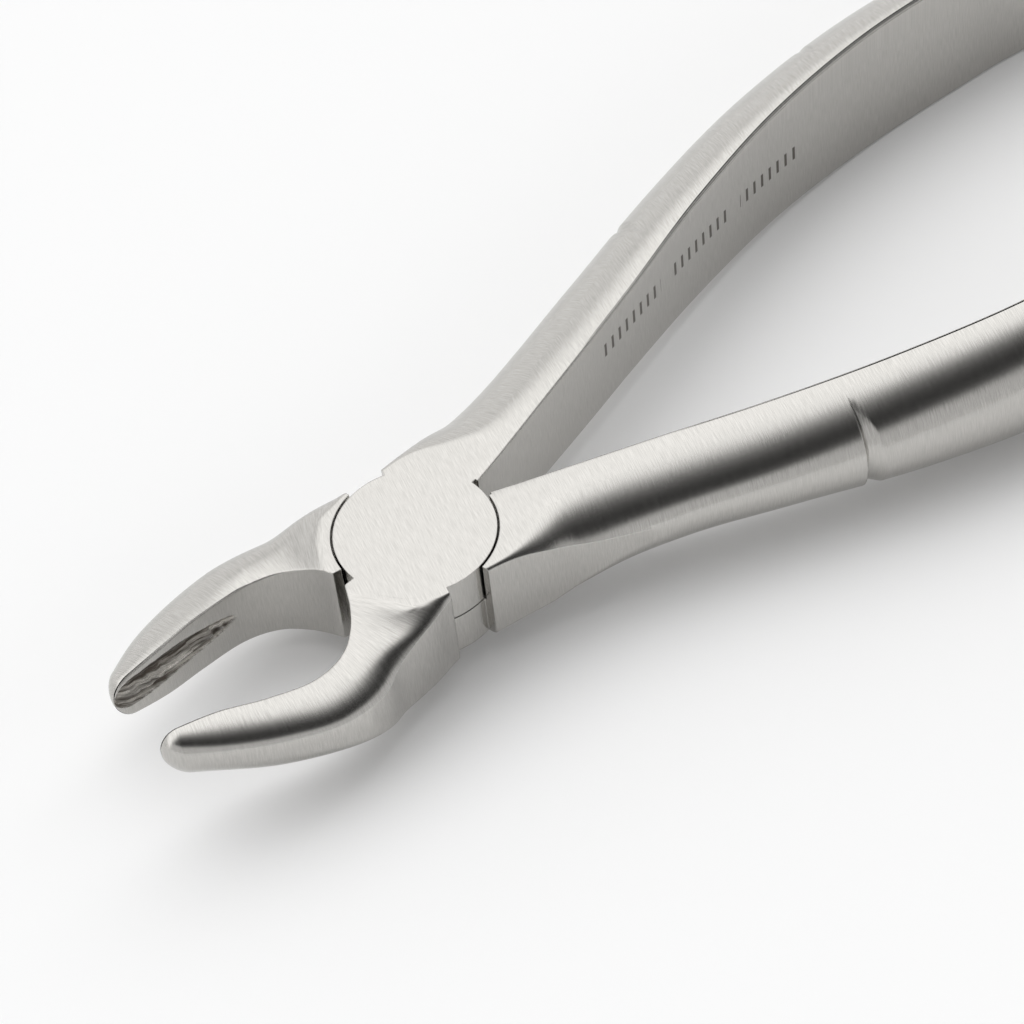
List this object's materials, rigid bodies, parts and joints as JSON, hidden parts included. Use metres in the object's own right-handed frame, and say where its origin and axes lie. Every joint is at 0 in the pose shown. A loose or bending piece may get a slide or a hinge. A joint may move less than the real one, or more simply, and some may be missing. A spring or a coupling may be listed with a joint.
{
  "type": "extraction forceps",
  "caption": "Dental extraction forceps: bowed handles with a flat inner wall, a round box joint, and curved hollow-faced beaks that open and close.",
  "frame": {"origin": "on the pivot axis, in the plane of the joint's flat under-face", "axes": "+X along the instrument towards the handles' ends, +Y towards the upper half's handle, +Z along the pivot axis, up through the joint"},
  "size_m": [0.1779, 0.0632, 0.019],
  "materials": {
    "satin_steel_upper": "satin brushed",
    "satin_steel_lower": "satin brushed",
    "pin_steel": "ground flush"
  },
  "bodies": {
    "upper_half": {"upper_disc_half": "satin_steel_upper", "pivot_pin": "pin_steel"},
    "lower_half": {"lower_disc_half": "satin_steel_lower"}
  },
  "joints": [
    {"name": "box_joint", "type": "hinge", "parent": "upper_half", "child": "lower_half", "pos_m": [0, 0, 0.0055], "axis": [0, 0, 1], "range_deg": [-28, 11]}
  ]
}
